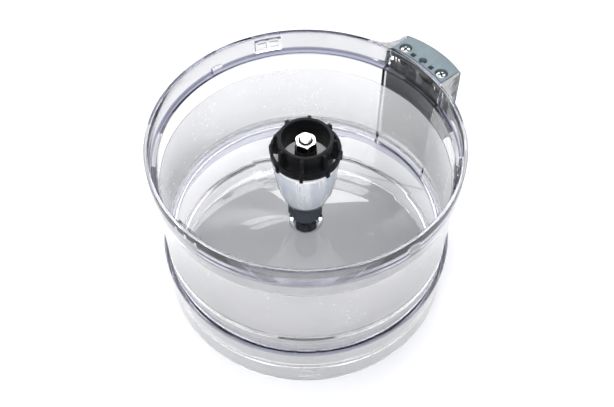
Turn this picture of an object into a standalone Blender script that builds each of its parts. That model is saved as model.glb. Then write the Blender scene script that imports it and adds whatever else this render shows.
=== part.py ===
"""Work bowl of a food processor: clear bowl, handle with lid interlock, built-in drive spindle.

Metres, +Z up, handle towards +X. The model's origin is the bottom centre of its box;
everything is placed from an empty on the bowl's own axis.
"""
import math

import bmesh
import bpy

# Clearances
SEAT = 0.0003            # between pieces that touch
RUN = 0.00015            # around the shaft in its bushes

# Bowl
BOWL_HEIGHT = 0.145
RIM_RADIUS = 0.107
RIM_WALL = 0.0026
RIM_ROUND = 0.0006
BAND_DEPTH = 0.0168      # height of the thicker band below the rim
BAND_STEP = 0.0032       # how far the band stands out from the wall
LEDGE_FALL = 0.0013      # slope across the inner ledge
WALL = 0.0028
FLOOR_TOP = 0.054
FLOOR = 0.003
FLOOR_FILLET = 0.006
FLANGE_TOP = 0.0443
FLANGE = 0.0053
FLANGE_REACH = 0.0032    # beyond the wall
SKIRT_INSET = 0.0012     # inside the flange's edge
SKIRT_WALL = 0.0028
SEAT_RIB_HEIGHT = 0.017
SEAT_RIB = 0.002
SEAT_RIB_REACH = 0.0033

# Lugs and tabs on the bowl: angles are from the handle, counter-clockwise
LUG_ANGLES = (64.8, 184.8, 304.8)
LUG_LENGTH = 0.020
LUG_REACH = 0.0026
LUG_TOP = 0.003          # below the rim
LUG_HEIGHT = 0.010
LUG_FRAME = 0.0022       # bar around each window
LUG_WINDOWS = 2
TAB_ANGLES = (88.2, 268.2)
TAB_LENGTH = 0.009
TAB_HEIGHT = 0.005
TAB_REACH = 0.0022
BASE_LUG_ANGLES = (50.4, 140.4, 230.4, 320.4)
BASE_LUG_LENGTH = 0.014
BASE_LUG_REACH = 0.0026
BASE_LUG_BOTTOM = 0.005
BASE_LUG_HEIGHT = 0.011

# Central boss
BOSS_RADIUS = 0.0121
BOSS_HEIGHT = 0.0232     # above the floor
SHOULDER_HEIGHT = 0.0102  # of the carrier's seat, above the floor

# Spindle: radii
SHAFT_RADIUS = 0.004
SHAFT_TIP_RADIUS = 0.0019
CARRIER_RADIUS = 0.0109
CARRIER_KEY_REACH = 0.0022
COUPLING_RADIUS = 0.0078
COUPLING_NOSE_RADIUS = 0.0038
COUPLING_ROOM = 0.0008
BUSH_WALL = 0.0025
HUB_RADIUS = 0.0077
NUT_ACROSS_FLATS = 0.013
WASHER_RADIUS = 0.0074
POST_FOOT_RADIUS = 0.0129
POST_RADIUS = 0.023
POST_WALL = 0.002
COLLAR_OUTER = 0.01895
COLLAR_INNER = 0.0162
HOOP_OUTER = 0.0243
HOOP_INNER = 0.0224
FIN_COUNT = 8
FIN_ANGLE = -3.1         # of the first fin, from the handle
FIN_THICKNESS = 0.0024
FIN_REACH_TOP = 0.0211
FIN_REACH_BOTTOM = 0.0251
PIN_RADIUS = 0.0012

# Spindle: heights
GASKET = 0.001
POST_HEIGHT = 0.0444
DECK = 0.0022
COLLAR_HEIGHT = 0.0201
HOOP_BOTTOM = 0.0047     # above the deck
HOOP_TOP = 0.0107
FIN_BOTTOM = 0.0022
HUB_HEIGHT = 0.0094
WASHER = 0.0013
NUT_HEIGHT = 0.0062
SHAFT_PROUD = 0.002      # above the nut
COUPLING_HEIGHT = 0.0239
NOSE_HEIGHT = 0.004
TIP_LENGTH = 0.0065
THRUST = 0.0008
RING = 0.001

# Handle, measured outwards from the bowl's axis or rim
HANDLE_REACH = 0.0202    # middle of the outer face, beyond the rim
HANDLE_CORNER_REACH = 0.0155
CHEEK = 0.0022
CHEEK_REACH = 0.0137
CHEEK_HALF_WIDTH = 0.0271
CHEEK_PROUD = 0.0005     # of the handle's outer face, at its sides
SADDLE_RADIUS = 0.020
CAP = 0.0057
SHELF = 0.0035
GRIP_WALL = 0.0026
GRIP_START = -0.0018     # where its side walls begin, from the rim
BACK_WALL = 0.002
FOOT = 0.004
FOOT_BOSS_RADIUS = 0.0052
FOOT_BOSS_HEIGHT = 0.0114
SCREW_REACH = 0.0046
SCREW_INSET = 0.0073     # from a cheek's inner face
SCREW_RADIUS = 0.0019
SCREW_LENGTH = 0.022
HEAD_RADIUS = 0.004
HEAD = 0.0022
HEAD_SUNK = 0.0007       # below the cap's face
SCREW_BOSS_RADIUS = 0.0042
SOCKET_REACH = 0.0032
SOCKET_TO_SCREW = 0.0089  # across the handle
SOCKET_SIDE = 0.0038
ROD_REACH = 0.0042
ROD_RADIUS = 0.0023
ROD_HOLE_RADIUS = 0.003
ROD_SUNK = 0.0035        # below the cap's face
CLIP_RADIUS = 0.0048
CLIP = 0.001
SPRING_RADIUS = 0.0034
SPRING_WIRE = 0.00045
SPRING_LENGTH = 0.0234
SPRING_TURNS = 7

# Facets
BOWL_STEPS = 72
ROUND_STEPS = 36
SMALL_STEPS = 24
OVERLAP = 0.0006         # how far joined shapes run into each other

# Worked out from the sizes above
WALL_OUTER = RIM_RADIUS - BAND_STEP
WALL_INNER = WALL_OUTER - WALL
RIM_INNER = RIM_RADIUS - RIM_WALL
BAND_BOTTOM = BOWL_HEIGHT - BAND_DEPTH
FLANGE_RADIUS = WALL_OUTER + FLANGE_REACH
SKIRT_OUTER = FLANGE_RADIUS - SKIRT_INSET
SKIRT_INNER = SKIRT_OUTER - SKIRT_WALL
FLOOR_BOTTOM = FLOOR_TOP - FLOOR
BOSS_TOP = FLOOR_TOP + BOSS_HEIGHT
SHOULDER = FLOOR_TOP + SHOULDER_HEIGHT
HANDLE_OUTER = RIM_RADIUS + HANDLE_REACH
HANDLE_HALF_WIDTH = CHEEK_HALF_WIDTH - CHEEK_PROUD
CHEEK_END = RIM_RADIUS + CHEEK_REACH
CHEEK_INNER = CHEEK_HALF_WIDTH - CHEEK
INSIDE_CHEEKS = CHEEK_INNER - SEAT
SCREW_HALF_SPACING = CHEEK_INNER - SCREW_INSET
SOCKET_HALF_SPACING = SCREW_HALF_SPACING - SOCKET_TO_SCREW
CAP_BOTTOM = BOWL_HEIGHT - CAP
SHELF_TOP = CAP_BOTTOM - SEAT
SHELF_BOTTOM = SHELF_TOP - SHELF
HANDLE_BOTTOM = FLANGE_TOP + SEAT
SCREW_X = RIM_RADIUS + SCREW_REACH
ROD_X = RIM_RADIUS + ROD_REACH
SOCKET_X = RIM_RADIUS + SOCKET_REACH
GASKET_BOTTOM = BOSS_TOP + SEAT
POST_BOTTOM = GASKET_BOTTOM + GASKET + SEAT
DECK_TOP = POST_BOTTOM + POST_HEIGHT
COLLAR_BOTTOM = DECK_TOP + SEAT
COLLAR_TOP = COLLAR_BOTTOM + COLLAR_HEIGHT
HUB_BOTTOM = DECK_TOP + 2 * SEAT
HUB_TOP = HUB_BOTTOM + HUB_HEIGHT
WASHER_TOP = HUB_TOP + SEAT + WASHER
NUT_TOP = WASHER_TOP + SEAT + NUT_HEIGHT
SHAFT_TOP = NUT_TOP + SHAFT_PROUD
CARRIER_BOTTOM = SHOULDER + SEAT
THRUST_TOP = CARRIER_BOTTOM - SEAT
COUPLING_TOP = THRUST_TOP - THRUST - SEAT
COUPLING_BOTTOM = COUPLING_TOP - COUPLING_HEIGHT
SHAFT_BOTTOM = COUPLING_BOTTOM - TIP_LENGTH
BUSH_FLANGE_TOP = BOSS_TOP + SEAT + GASKET
RING_BOTTOM = BUSH_FLANGE_TOP + SEAT
BUSH_INNER = SHAFT_RADIUS + RUN
BUSH_OUTER = BUSH_INNER + BUSH_WALL
BORE = SHAFT_RADIUS + SEAT
ROD_TOP = BOWL_HEIGHT - ROD_SUNK
SPRING_BOTTOM = HANDLE_BOTTOM + FOOT + FOOT_BOSS_HEIGHT + SEAT
CLIP_BOTTOM = SPRING_BOTTOM + SPRING_LENGTH + SEAT
BOX_HALF_LENGTH = (HANDLE_OUTER + RIM_RADIUS) / 2
AXIS_X = BOX_HALF_LENGTH - HANDLE_OUTER


def clear_scene():
    """Remove what is in the scene, then make the two collections and the empty on the bowl's axis."""
    for old in list(bpy.data.objects):
        bpy.data.objects.remove(old, do_unlink=True)
    made = []
    for name in ("food_processor_bowl", "cutters"):
        collection = bpy.data.collections.new(name)
        bpy.context.scene.collection.children.link(collection)
        made.append(collection)
    axis = bpy.data.objects.new("bowl_axis", None)
    axis.location = (AXIS_X, 0, 0)
    made[0].objects.link(axis)
    return made[0], made[1], axis


PARTS, CUTTERS, AXIS = clear_scene()


def material(name, colour, roughness, metallic=0.0, alpha=1.0):
    made = bpy.data.materials.new(name)
    made.use_nodes = True
    shader = made.node_tree.nodes["Principled BSDF"]
    shader.inputs["Base Color"].default_value = (*colour, 1)
    shader.inputs["Roughness"].default_value = roughness
    shader.inputs["Metallic"].default_value = metallic
    shader.inputs["Alpha"].default_value = alpha
    return made


def keep(piece, paint, sharp=35):
    """Put a piece in the parts collection, on the bowl's axis, smooth on its round faces."""
    PARTS.objects.link(piece)
    piece.parent = AXIS
    piece.data.materials.clear()
    piece.data.materials.append(paint)
    piece.data.shade_smooth()
    piece.data.set_sharp_from_angle(angle=math.radians(sharp))
    return piece


def guide(piece):
    """Put a cutter or a shape to be joined in the other collection, hidden."""
    CUTTERS.objects.link(piece)
    piece.parent = AXIS
    piece.hide_render = True
    piece.display_type = "WIRE"
    return piece


def boolean(piece, other, operation):
    change = piece.modifiers.new(operation.lower(), "BOOLEAN")
    change.object = guide(other)
    change.operation = operation
    change.solver = "EXACT"


def join(piece, other):
    boolean(piece, other, "UNION")


def cut(piece, other):
    boolean(piece, other, "DIFFERENCE")


def turned(name, profile, steps, closed=True):
    """A turned solid: the profile runs down its outer side and, if closed, back up its inner side."""
    mesh = bpy.data.meshes.new(name)
    edges = [(i, i + 1) for i in range(len(profile) - 1)]
    if closed:
        edges.append((len(profile) - 1, 0))
    mesh.from_pydata([(r, 0, z) for r, z in profile], edges, [])
    piece = bpy.data.objects.new(name, mesh)
    screw = piece.modifiers.new("turn", "SCREW")
    screw.steps = screw.render_steps = steps
    screw.use_merge_vertices = True
    screw.merge_threshold = 0.00001
    return piece


def cylinder(name, radius, bottom, top, x=0.0, y=0.0, steps=SMALL_STEPS):
    mesh = bpy.data.meshes.new(name)
    shape = bmesh.new()
    bmesh.ops.create_cone(
        shape, cap_ends=True, segments=steps, radius1=radius, radius2=radius, depth=top - bottom
    )
    bmesh.ops.translate(shape, verts=shape.verts, vec=(x, y, (top + bottom) / 2))
    shape.to_mesh(mesh)
    shape.free()
    return bpy.data.objects.new(name, mesh)


def box(name, low, high):
    mesh = bpy.data.meshes.new(name)
    shape = bmesh.new()
    bmesh.ops.create_cube(shape, size=1)
    bmesh.ops.scale(shape, verts=shape.verts, vec=[b - a for a, b in zip(low, high)])
    bmesh.ops.translate(shape, verts=shape.verts, vec=[(a + b) / 2 for a, b in zip(low, high)])
    shape.to_mesh(mesh)
    shape.free()
    return bpy.data.objects.new(name, mesh)


def turn_mesh(piece, degrees):
    """Turn a piece's mesh about the bowl's axis."""
    angle = math.radians(degrees)
    for vertex in piece.data.vertices:
        x, y, z = vertex.co
        vertex.co = (
            x * math.cos(angle) - y * math.sin(angle),
            x * math.sin(angle) + y * math.cos(angle),
            z,
        )
    return piece


def plate(name, outlines, bottom, top):
    """A flat outline with its holes, given thickness, as a mesh."""
    curve = bpy.data.curves.new(name + "_outline", "CURVE")
    curve.dimensions = "2D"
    curve.fill_mode = "BOTH"
    curve.extrude = (top - bottom) / 2
    for outline in outlines:
        spline = curve.splines.new("POLY")
        spline.points.add(len(outline) - 1)
        spline.use_cyclic_u = True
        for point, (x, y) in zip(spline.points, outline):
            point.co = (x, y, 0, 1)
    drawn = bpy.data.objects.new(name + "_outline", curve)
    drawn.location.z = (top + bottom) / 2
    CUTTERS.objects.link(drawn)
    bpy.context.view_layer.update()
    seen = drawn.evaluated_get(bpy.context.evaluated_depsgraph_get())
    mesh = bpy.data.meshes.new_from_object(seen)
    mesh.transform(drawn.matrix_world)
    bpy.data.objects.remove(drawn, do_unlink=True)
    shape = bmesh.new()
    shape.from_mesh(mesh)
    bmesh.ops.remove_doubles(shape, verts=shape.verts, dist=0.000001)
    bmesh.ops.recalc_face_normals(shape, faces=shape.faces)
    shape.to_mesh(mesh)
    shape.free()
    return bpy.data.objects.new(name, mesh)


def arc(radius, start, end, steps, x=0.0, y=0.0):
    """Points on an arc, from one angle to another in degrees, both ends included."""
    angles = [math.radians(start + (end - start) * i / steps) for i in range(steps + 1)]
    return [(x + radius * math.cos(a), y + radius * math.sin(a)) for a in angles]


def sector(name, inner, outer, bottom, top, middle, length, steps=6):
    """A block that follows a ring: its length is measured along the outer radius."""
    half = math.degrees(length / outer) / 2
    outline = arc(outer, middle - half, middle + half, steps)
    outline += arc(inner, middle + half, middle - half, steps)
    return plate(name, [outline], bottom, top)


def ring(name, inner, outer, bottom, top, steps=ROUND_STEPS):
    return turned(name, [(outer, top), (outer, bottom), (inner, bottom), (inner, top)], steps)


def polar_outline(radii, start=0.0):
    """A closed outline with one point for each radius, evenly spaced in angle."""
    step = 2 * math.pi / len(radii)
    return [
        (r * math.cos(start + i * step), r * math.sin(start + i * step))
        for i, r in enumerate(radii)
    ]


def handle_face(inset, half_width):
    """The handle's bowed outer face at an inset, from one side to the other."""
    rise = HANDLE_REACH - HANDLE_CORNER_REACH
    bow = (HANDLE_HALF_WIDTH**2 + rise**2) / (2 * rise)
    centre = HANDLE_OUTER - bow
    reach = math.degrees(math.asin(half_width / (bow - inset)))
    return arc(bow - inset, -reach, reach, 12, x=centre)


CLEAR = material("clear_plastic", (0.78, 0.79, 0.86), 0.05, alpha=0.35)
MILKY = material("milky_plastic", (0.60, 0.65, 0.72), 0.25, alpha=0.8)
SLATE = material("slate_plastic", (0.26, 0.32, 0.35), 0.45)
DARK_SLATE = material("dark_slate_plastic", (0.07, 0.08, 0.10), 0.5)
BLACK = material("black_plastic", (0.012, 0.013, 0.017), 0.35)
GREY = material("dark_grey_plastic", (0.07, 0.08, 0.10), 0.4)
LIGHT_GREY = material("light_grey_plastic", (0.55, 0.57, 0.58), 0.4)
STEEL = material("steel", (0.75, 0.75, 0.74), 0.25, metallic=1.0)
BRONZE = material("bronze", (0.45, 0.27, 0.12), 0.4, metallic=1.0)
RUBBER = material("rubber", (0.03, 0.03, 0.03), 0.8)


def bowl_profile():
    """Half section of the bowl, down its outer side and back up the inside."""
    band = BAND_BOTTOM
    outer = [
        (RIM_RADIUS - RIM_ROUND, BOWL_HEIGHT),
        (RIM_RADIUS, BOWL_HEIGHT - RIM_ROUND),
        (RIM_RADIUS, band),
        (WALL_OUTER, band - BAND_STEP),
        (WALL_OUTER, FLANGE_TOP),
        (FLANGE_RADIUS, FLANGE_TOP),
        (FLANGE_RADIUS, FLANGE_TOP - FLANGE),
        (SKIRT_OUTER, FLANGE_TOP - FLANGE),
        (SKIRT_OUTER, 0.0),
        (SKIRT_INNER, 0.0),
        (SKIRT_INNER, SEAT_RIB_HEIGHT),
        (SKIRT_INNER - SEAT_RIB_REACH, SEAT_RIB_HEIGHT),
        (SKIRT_INNER - SEAT_RIB_REACH, SEAT_RIB_HEIGHT + SEAT_RIB),
        (SKIRT_INNER, SEAT_RIB_HEIGHT + SEAT_RIB),
        (SKIRT_INNER, FLANGE_TOP - FLANGE),
        (WALL_INNER, FLANGE_TOP - FLANGE + SKIRT_WALL),
        (WALL_INNER, FLOOR_BOTTOM - FLOOR),
        (WALL_INNER - FLOOR, FLOOR_BOTTOM),
    ]
    bore = COUPLING_RADIUS + COUPLING_ROOM
    seat = CARRIER_RADIUS + SEAT
    boss = [
        (bore, FLOOR_BOTTOM),
        (bore, SHOULDER),
        (seat, SHOULDER),
        (seat, BOSS_TOP),
        (BOSS_RADIUS, BOSS_TOP),
        (BOSS_RADIUS, FLOOR_TOP + SEAT),
        (BOSS_RADIUS + SEAT, FLOOR_TOP),
    ]
    fillet = arc(FLOOR_FILLET, -90, 0, 5, x=WALL_INNER - FLOOR_FILLET, y=FLOOR_TOP + FLOOR_FILLET)
    top = [
        (WALL_INNER, band - LEDGE_FALL),
        (RIM_INNER, band),
        (RIM_INNER, BOWL_HEIGHT),
    ]
    return outer + boss + fillet + top


def windowed_lug(name, wall, reach, bottom, height, middle, length, windows):
    """A locking lug on an inner wall: a block with windows through it, as tools to join and to cut."""
    inner = wall - reach
    block = sector(name, inner, wall + OVERLAP, bottom, bottom + height, middle, length)
    clear_length = (length - (windows + 1) * LUG_FRAME) / windows
    pitch = math.degrees((clear_length + LUG_FRAME) / wall)
    for i in range(windows):
        centre = middle + (i - (windows - 1) / 2) * pitch
        window = sector(
            f"{name}_window_{i}", inner - OVERLAP, wall - SEAT, bottom + LUG_FRAME,
            bottom + height - LUG_FRAME, centre, clear_length, steps=3,
        )
        cut(block, window)
    return block


def chord_x(radius, y):
    """Where a circle about the bowl's axis crosses a line at this y."""
    return math.sqrt(radius**2 - y**2)


def saddle_outline():
    """Plan of the concave blend from the rim band to a cheek, on the +Y side."""
    centre_y = CHEEK_HALF_WIDTH + SADDLE_RADIUS
    centre_x = math.sqrt((RIM_RADIUS + SADDLE_RADIUS) ** 2 - centre_y**2)
    on_rim = math.degrees(math.atan2(centre_y, centre_x))
    inside = RIM_RADIUS - RIM_WALL / 2
    cheek_middle = CHEEK_HALF_WIDTH - CHEEK / 2
    cheek_angle = math.degrees(math.asin(cheek_middle / inside))
    outline = arc(inside, cheek_angle, on_rim + 1.0, 6)
    outline += arc(SADDLE_RADIUS, on_rim + 180, 270, 10, x=centre_x, y=centre_y)
    outline.append((centre_x, cheek_middle))
    return outline


def make_bowl():
    bowl = keep(turned("bowl_body", bowl_profile(), BOWL_STEPS), CLEAR)
    for i, angle in enumerate(LUG_ANGLES):
        join(bowl, windowed_lug(
            f"lid_lug_{i}", RIM_INNER, LUG_REACH, BOWL_HEIGHT - LUG_TOP - LUG_HEIGHT,
            LUG_HEIGHT, angle, LUG_LENGTH, LUG_WINDOWS,
        ))
    for i, angle in enumerate(TAB_ANGLES):
        join(bowl, sector(
            f"stop_tab_{i}", RIM_INNER - TAB_REACH, RIM_INNER + OVERLAP,
            BAND_BOTTOM - LEDGE_FALL, BAND_BOTTOM + TAB_HEIGHT, angle, TAB_LENGTH, steps=3,
        ))
    for i, angle in enumerate(BASE_LUG_ANGLES):
        join(bowl, windowed_lug(
            f"base_lug_{i}", SKIRT_INNER, BASE_LUG_REACH, BASE_LUG_BOTTOM,
            BASE_LUG_HEIGHT, angle, BASE_LUG_LENGTH, 1,
        ))
    in_band = RIM_RADIUS - RIM_WALL * 0.8
    in_wall = WALL_OUTER - WALL / 2
    low_top = BAND_BOTTOM - LEDGE_FALL - SEAT
    for side in (-1, 1):
        name = "left" if side > 0 else "right"
        ends = sorted((side * CHEEK_INNER, side * CHEEK_HALF_WIDTH))
        low_x = chord_x(in_wall, CHEEK_HALF_WIDTH)
        band_x = chord_x(in_band, CHEEK_INNER)
        join(bowl, box(f"cheek_{name}_low", (low_x, ends[0], HANDLE_BOTTOM), (CHEEK_END, ends[1], low_top)))
        join(bowl, box(
            f"cheek_{name}_top", (band_x, ends[0], low_top - OVERLAP), (CHEEK_END, ends[1], BOWL_HEIGHT),
        ))
        outline = [(x, side * y) for x, y in saddle_outline()]
        join(bowl, plate(f"saddle_{name}", [outline], BAND_BOTTOM, BOWL_HEIGHT))
    shelf_in = math.degrees(math.asin((CHEEK_INNER + OVERLAP) / in_band))
    shelf = arc(in_band, shelf_in, -shelf_in, 10)
    shelf += [(CHEEK_END, -CHEEK_INNER - OVERLAP), (CHEEK_END, CHEEK_INNER + OVERLAP)]
    join(bowl, plate("shelf", [shelf], SHELF_BOTTOM, SHELF_TOP))
    for side in (-1, 1):
        cut(bowl, cylinder(
            f"shelf_hole_{side + 1}", SCREW_RADIUS + SEAT, SHELF_BOTTOM - OVERLAP,
            SHELF_TOP + OVERLAP, SCREW_X, side * SCREW_HALF_SPACING,
        ))
    cut(bowl, cylinder(
        "shelf_rod_hole", ROD_RADIUS + SEAT, SHELF_BOTTOM - OVERLAP, SHELF_TOP + OVERLAP, ROD_X,
    ))
    for name, angle, bottom, top, length in CARRIER_KEYS:
        cut(bowl, key_block("boss_" + name, angle, bottom, top, length, SEAT, BOSS_TOP + OVERLAP))


# Tabs on the bearing carrier: name, angle, bottom and top below the boss's top, width
CARRIER_KEYS = (
    ("ear", 140.4, 0.0125, 0.0055, 0.006),
    ("upper_tab", 140.4, 0.0015, 0.0, 0.006),
    ("side_tab", 320.4, 0.004, 0.0, 0.006),
)


def key_block(name, angle, bottom, top, length, room, cut_top=None):
    """A key on the carrier's side, or with room around it, the keyway that takes it."""
    outer = CARRIER_RADIUS + CARRIER_KEY_REACH + room
    low = BOSS_TOP - bottom - room
    high = cut_top if cut_top is not None else BOSS_TOP - top
    return sector(
        name, CARRIER_RADIUS - OVERLAP * 2, outer, low, high, angle, length + 2 * room, steps=3,
    )


def make_handle():
    gap = RIM_RADIUS + SEAT
    side = INSIDE_CHEEKS
    lip = CHEEK_END + SEAT
    reach = math.degrees(math.asin(side / gap))
    cap_outline = arc(gap, reach, -reach, 12)
    cap_outline += [(lip, -side), (lip, -HANDLE_HALF_WIDTH)]
    cap_outline += handle_face(0, HANDLE_HALF_WIDTH)
    cap_outline += [(lip, HANDLE_HALF_WIDTH), (lip, side)]
    cap = keep(plate("handle_cap", [cap_outline], CAP_BOTTOM, BOWL_HEIGHT), SLATE)
    for y in (-SCREW_HALF_SPACING, SCREW_HALF_SPACING):
        recess = BOWL_HEIGHT - HEAD_SUNK - HEAD - SEAT
        cut(cap, cylinder("cap_recess", HEAD_RADIUS + 2 * SEAT, recess, BOWL_HEIGHT + OVERLAP, SCREW_X, y))
        cut(cap, cylinder(
            "cap_hole", SCREW_RADIUS + SEAT, CAP_BOTTOM - OVERLAP, recess + OVERLAP, SCREW_X, y,
        ))
    for y in (-SOCKET_HALF_SPACING, SOCKET_HALF_SPACING):
        half = SOCKET_SIDE / 2
        cut(cap, box(
            "cap_socket", (SOCKET_X - half, y - half, CAP_BOTTOM - OVERLAP),
            (SOCKET_X + half, y + half, BOWL_HEIGHT + OVERLAP),
        ))
    cut(cap, cylinder(
        "cap_rod_hole", ROD_HOLE_RADIUS, CAP_BOTTOM - OVERLAP, BOWL_HEIGHT + OVERLAP, ROD_X,
    ))

    start = RIM_RADIUS + GRIP_START
    inner = side - CHEEK
    grip_outline = [(start, -side), (lip, -side), (lip, -HANDLE_HALF_WIDTH)]
    grip_outline += handle_face(0, HANDLE_HALF_WIDTH)
    grip_outline += [(lip, HANDLE_HALF_WIDTH), (lip, side), (start, side), (start, inner)]
    grip_outline += handle_face(GRIP_WALL, inner)[::-1]
    grip_outline += [(start, -inner)]
    upper = [(CHEEK_END + SEAT, -side), (lip, -HANDLE_HALF_WIDTH)]
    upper += handle_face(0, HANDLE_HALF_WIDTH)
    upper += [(lip, HANDLE_HALF_WIDTH), (CHEEK_END + SEAT, side)]
    grip = keep(plate("handle_grip", [grip_outline], HANDLE_BOTTOM, SHELF_BOTTOM - SEAT), SLATE)
    join(grip, plate("grip_top", [upper], SHELF_BOTTOM - SEAT - OVERLAP, SHELF_TOP))
    boss_top = SHELF_BOTTOM - SEAT
    boss_bottom = boss_top - SCREW_LENGTH
    for sign in (-1, 1):
        y = sign * SCREW_HALF_SPACING
        web = sorted((y, sign * (inner + OVERLAP)))
        join(grip, cylinder("screw_boss", SCREW_BOSS_RADIUS, boss_bottom, boss_top - SEAT, SCREW_X, y))
        join(grip, box(
            "screw_web", (SCREW_X - SCREW_RADIUS, web[0], boss_bottom + SEAT),
            (SCREW_X + SCREW_RADIUS, web[1], boss_top - 2 * SEAT),
        ))
        cut(grip, cylinder(
            "pilot_hole", SCREW_RADIUS + SEAT, boss_bottom - OVERLAP, boss_top + OVERLAP, SCREW_X, y,
        ))

    back_in = WALL_OUTER + SEAT
    back_out = back_in + BACK_WALL
    half = math.degrees(math.asin((side - SEAT) / back_out))
    back_outline = arc(back_in, half, -half, 12) + arc(back_out, -half, half, 12)
    back_top = BAND_BOTTOM - BAND_STEP - SEAT
    keep(plate("handle_back", [back_outline], HANDLE_BOTTOM + FOOT + SEAT, back_top), DARK_SLATE)

    plug = inner - SEAT
    plug_turn = math.degrees(math.asin(plug / back_in))
    foot_outline = arc(back_in, plug_turn, -plug_turn, 12) + handle_face(GRIP_WALL + SEAT, plug)
    foot = keep(plate("handle_foot", [foot_outline], HANDLE_BOTTOM, HANDLE_BOTTOM + FOOT), SLATE)
    foot_boss_top = HANDLE_BOTTOM + FOOT + FOOT_BOSS_HEIGHT
    foot_boss_x = max(ROD_X, back_out + SEAT + FOOT_BOSS_RADIUS)
    join(foot, cylinder(
        "foot_boss", FOOT_BOSS_RADIUS, HANDLE_BOTTOM + OVERLAP, foot_boss_top, foot_boss_x,
    ))
    cut(foot, cylinder(
        "foot_hole", ROD_RADIUS + SEAT, HANDLE_BOTTOM - OVERLAP, foot_boss_top + OVERLAP, ROD_X,
    ))


def make_screws():
    """Pan-head screws with a cross recess, one at each end of the cap."""
    head_top = BOWL_HEIGHT - HEAD_SUNK
    crown = HEAD * 0.35
    shank_bottom = head_top - HEAD - SCREW_LENGTH
    profile = [
        (0, head_top),
        (HEAD_RADIUS * 0.55, head_top - crown * 0.2),
        (HEAD_RADIUS * 0.9, head_top - crown),
        (HEAD_RADIUS, head_top - HEAD * 0.7),
        (HEAD_RADIUS, head_top - HEAD),
        (SCREW_RADIUS, head_top - HEAD),
        (SCREW_RADIUS, shank_bottom + SCREW_RADIUS),
        (0, shank_bottom),
    ]
    arm, slot = HEAD_RADIUS * 0.55, HEAD_RADIUS * 0.1
    for name, y in (("left", SCREW_HALF_SPACING), ("right", -SCREW_HALF_SPACING)):
        screw = keep(turned(f"handle_screw_{name}", profile, SMALL_STEPS, closed=False), STEEL)
        screw.location = (SCREW_X, y, 0)
        deep = head_top - HEAD * 0.6
        across = box("cross_a", (-arm, -slot, deep), (arm, slot, head_top + OVERLAP))
        along = box("cross_b", (-slot, -arm, deep), (slot, arm, head_top + OVERLAP))
        for groove in (across, along):
            cut(screw, groove)
            groove.location = (SCREW_X, y, 0)


def make_interlock():
    groove = ROD_RADIUS * 0.75
    rod = [
        (0, ROD_TOP),
        (ROD_RADIUS - SEAT, ROD_TOP),
        (ROD_RADIUS, ROD_TOP - SEAT),
        (ROD_RADIUS, CLIP_BOTTOM + CLIP + SEAT),
        (groove, CLIP_BOTTOM + CLIP + SEAT),
        (groove, CLIP_BOTTOM - SEAT),
        (ROD_RADIUS, CLIP_BOTTOM - SEAT),
        (ROD_RADIUS, HANDLE_BOTTOM + SEAT),
        (ROD_RADIUS - SEAT, HANDLE_BOTTOM),
        (0, HANDLE_BOTTOM),
    ]
    piece = keep(turned("interlock_rod", rod, SMALL_STEPS, closed=False), LIGHT_GREY)
    piece.location.x = ROD_X
    clip = keep(
        ring("rod_clip", groove + SEAT, CLIP_RADIUS, CLIP_BOTTOM, CLIP_BOTTOM + CLIP, SMALL_STEPS),
        STEEL,
    )
    clip.location.x = ROD_X
    mouth = groove * 0.8
    slot = box(
        "clip_mouth", (0, -mouth, CLIP_BOTTOM - OVERLAP),
        (2 * CLIP_RADIUS, mouth, CLIP_BOTTOM + CLIP + OVERLAP),
    )
    cut(clip, slot)
    slot.location.x = ROD_X

    curve = bpy.data.curves.new("spring_wire", "CURVE")
    curve.dimensions = "3D"
    curve.bevel_depth = SPRING_WIRE
    curve.bevel_resolution = 2
    curve.use_fill_caps = True
    steps = 10 * SPRING_TURNS
    spline = curve.splines.new("POLY")
    spline.points.add(steps)
    rise = SPRING_LENGTH - 2 * SPRING_WIRE
    for i, point in enumerate(spline.points):
        angle = 2 * math.pi * SPRING_TURNS * i / steps
        height = SPRING_BOTTOM + SPRING_WIRE + rise * i / steps
        point.co = (SPRING_RADIUS * math.cos(angle), SPRING_RADIUS * math.sin(angle), height, 1)
    spring = bpy.data.objects.new("interlock_spring", curve)
    curve.materials.append(STEEL)
    PARTS.objects.link(spring)
    spring.parent = AXIS
    spring.location.x = ROD_X


def post_profile():
    """Half section of the post: funnel outside, deck on top, bearing tube down its middle."""
    heights = (0.0, 0.035, 0.30, 0.64, 0.90, 0.975, 1.0)
    spread = (0.0, 0.16, 0.60, 0.88, 1.0, 0.97, 0.86)
    span = POST_RADIUS - POST_FOOT_RADIUS
    outer = [
        (POST_FOOT_RADIUS + span * s, POST_BOTTOM + POST_HEIGHT * h)
        for h, s in zip(heights, spread)
    ]
    deck_bottom = DECK_TOP - DECK
    inner = [(r - POST_WALL, z) for r, z in outer[:5]]
    inner.append((outer[5][0] - POST_WALL, deck_bottom))
    tube_outer = BUSH_OUTER + SEAT + POST_WALL
    tube_bottom = DECK_TOP - 0.5 * POST_HEIGHT
    lip = SHAFT_RADIUS + 4 * SEAT
    bore = BUSH_OUTER + SEAT
    tube = [
        (tube_outer, deck_bottom),
        (tube_outer, tube_bottom),
        (lip, tube_bottom),
        (lip, tube_bottom + POST_WALL),
        (bore, tube_bottom + POST_WALL),
        (bore, DECK_TOP),
    ]
    return outer[::-1] + inner + tube


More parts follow.
